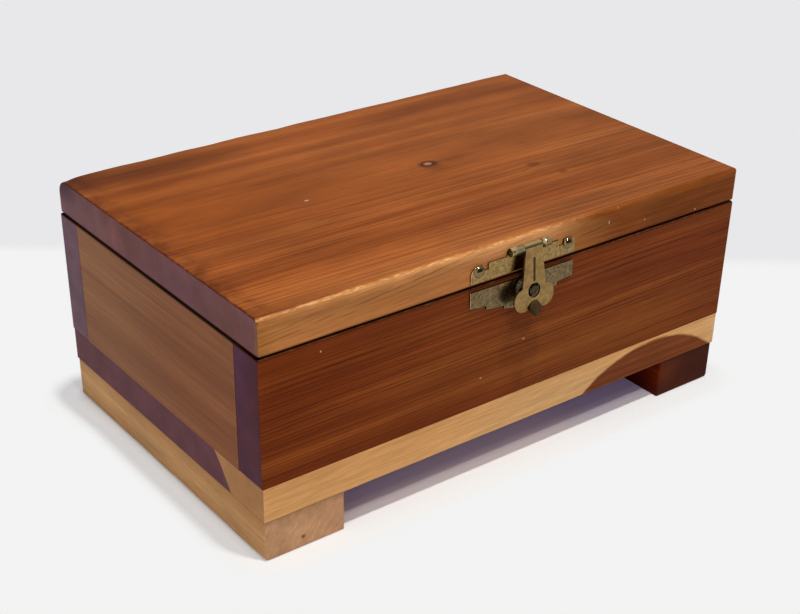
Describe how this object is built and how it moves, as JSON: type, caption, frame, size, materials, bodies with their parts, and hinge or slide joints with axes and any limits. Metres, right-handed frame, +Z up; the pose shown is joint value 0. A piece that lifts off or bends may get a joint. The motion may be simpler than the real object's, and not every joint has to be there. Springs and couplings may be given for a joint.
{
  "type": "cedar keepsake box",
  "caption": "Small varnished cedar keepsake box on foot runners, with a flat hinged lid and a swinging brass hasp that closes over a stud.",
  "frame": {"origin": "on the standing plane, under the middle of the whole box with its brass", "axes": "+X along the front from left to right as one faces it, +Y from the front to the back, +Z up"},
  "size_m": [0.178, 0.1228, 0.0755],
  "materials": {
    "cedar_lid": "satin varnish over orange-brown heartwood, pale sapwood along the front edge",
    "cedar_front": "satin varnish over red-brown heartwood",
    "cedar_back": "satin varnish over red-brown heartwood",
    "cedar_ends": "satin varnish over tan to mauve-brown heartwood",
    "cedar_bottom": "satin varnish over pale sapwood with a dark heart streak",
    "cedar_left_foot": "satin varnish over pale sapwood",
    "cedar_right_foot": "satin varnish over dark heartwood",
    "antique_brass": "pressed sheet, antiqued, with dull olive patina",
    "brass_nails": "bright domed heads, lightly tarnished",
    "steel_brads": "plain steel, dulled"
  },
  "bodies": {
    "base": {"front_board": "cedar_front", "back_board": "cedar_back", "left_end_panel": "cedar_ends", "right_end_panel": "cedar_ends", "bottom_board": "cedar_bottom", "left_foot_runner": "cedar_left_foot", "right_foot_runner": "cedar_right_foot", "catch_plate": "antique_brass", "catch_stud": "antique_brass", "left_hinge_box_leaf": "antique_brass", "left_hinge_pin": "antique_brass", "right_hinge_box_leaf": "antique_brass", "right_hinge_pin": "antique_brass", "left_hinge_box_leaf_nails": "brass_nails", "right_hinge_box_leaf_nails": "brass_nails", "bottom_brads": "steel_brads", "foot_brads": "steel_brads"},
    "lid": {"lid_board": "cedar_lid", "hasp_plate": "antique_brass", "hasp_plate_nails": "brass_nails", "hasp_pin": "antique_brass", "left_hinge_lid_leaf": "antique_brass", "left_hinge_lid_leaf_nails": "brass_nails", "right_hinge_lid_leaf": "antique_brass", "right_hinge_lid_leaf_nails": "brass_nails"},
    "hasp": {"hasp_arm": "antique_brass"}
  },
  "joints": [
    {"name": "lid_hinge", "type": "hinge", "parent": "base", "child": "lid", "pos_m": [0, 0.05968, 0.0646], "axis": [-1, 0, 0], "range_deg": [0, 175]},
    {"name": "hasp_swing", "type": "hinge", "parent": "lid", "child": "hasp", "pos_m": [0.0015, -0.05697, 0.0727], "axis": [-1, 0, 0], "range_deg": [0, 170]}
  ]
}
